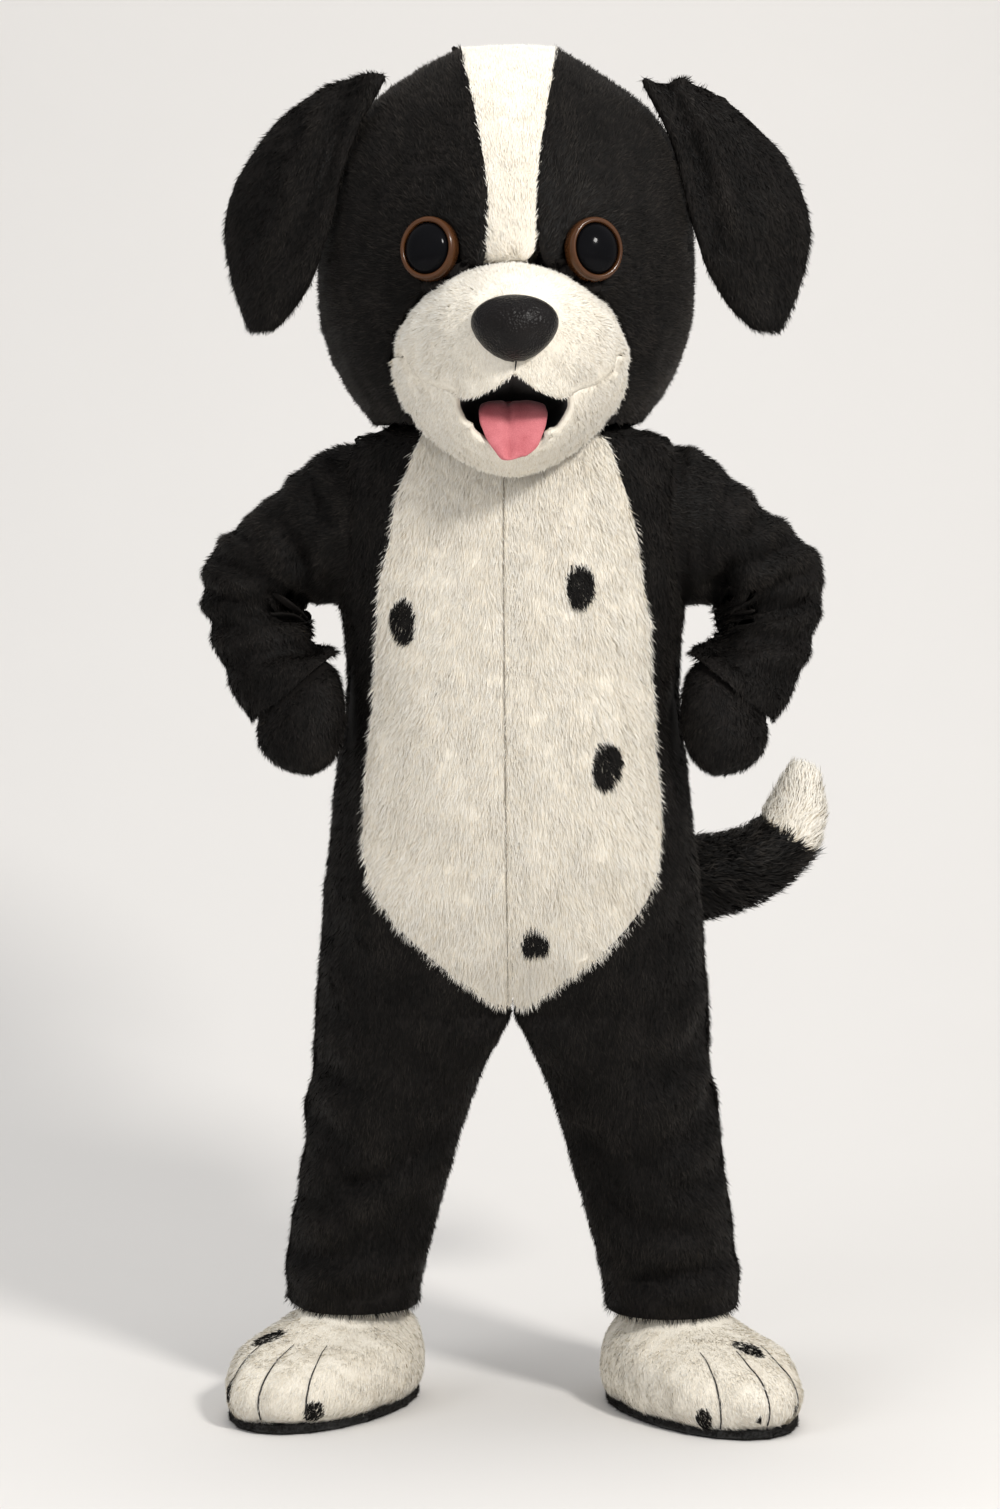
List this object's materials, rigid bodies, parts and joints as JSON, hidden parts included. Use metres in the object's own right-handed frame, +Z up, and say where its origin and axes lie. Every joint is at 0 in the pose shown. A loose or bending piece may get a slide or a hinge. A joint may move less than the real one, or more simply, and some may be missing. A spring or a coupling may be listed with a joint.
{
  "type": "dog mascot costume",
  "caption": "Worn dog mascot costume in black and white pile cloth: large head with floppy ears, one-piece suit with a tail, mitts and boots, hands on the hips.",
  "frame": {"origin": "middle of the neck base at shoulder height, where the wearer carries the costume, 1.335 m above the soles", "axes": "+Z up, the costume faces -Y, and the wearer's left is at +X"},
  "size_m": [0.8678, 0.6983, 1.8439],
  "materials": {
    "black_fur": "short dense black pile with a soft grey-brown sheen",
    "white_fur": "cream white pile, longer on the belly than on the muzzle",
    "nose_leather": "black pebbled leather, glossy",
    "tongue_plush": "pink short plush",
    "mouth_cloth": "black cloth, matt",
    "eye_black": "high gloss",
    "eye_brown": "high gloss",
    "sole_rubber": "matt, fine ribs",
    "zip_tape": "woven black tape with black teeth",
    "zip_metal": "black enamel"
  },
  "bodies": {
    "costume": {"back_left": "black_fur", "back_right": "black_fur", "belly_left": "white_fur", "belly_right": "white_fur", "blaze": "white_fur", "boot_left": "white_fur", "boot_right": "white_fur", "ear_back_left": "black_fur", "ear_back_right": "black_fur", "ear_front_left": "black_fur", "ear_front_right": "black_fur", "eye_dome_left": "eye_black", "eye_dome_right": "eye_black", "eye_ring_left": "eye_brown", "eye_ring_right": "eye_brown", "front_left": "black_fur", "front_right": "black_fur", "head_left": "black_fur", "head_right": "black_fur", "jaw": "white_fur", "mitt_left": "black_fur", "mitt_right": "black_fur", "mouth_lining": "mouth_cloth", "muzzle": "white_fur", "nose": "nose_leather", "sleeve_left": "black_fur", "sleeve_right": "black_fur", "sole_left": "sole_rubber", "sole_right": "sole_rubber", "tail": "black_fur", "tail_tip": "white_fur", "tongue": "tongue_plush", "zip_slider": "zip_metal", "zip_tape": "zip_tape"},
    "pull_tab": {"zip_pull": "zip_metal"}
  },
  "joints": [
    {"name": "pull_lift", "type": "hinge", "parent": "costume", "child": "pull_tab", "pos_m": [0, 0.15381, -0.05851], "axis": [1, 0, 0], "range_deg": [0, 150]}
  ]
}
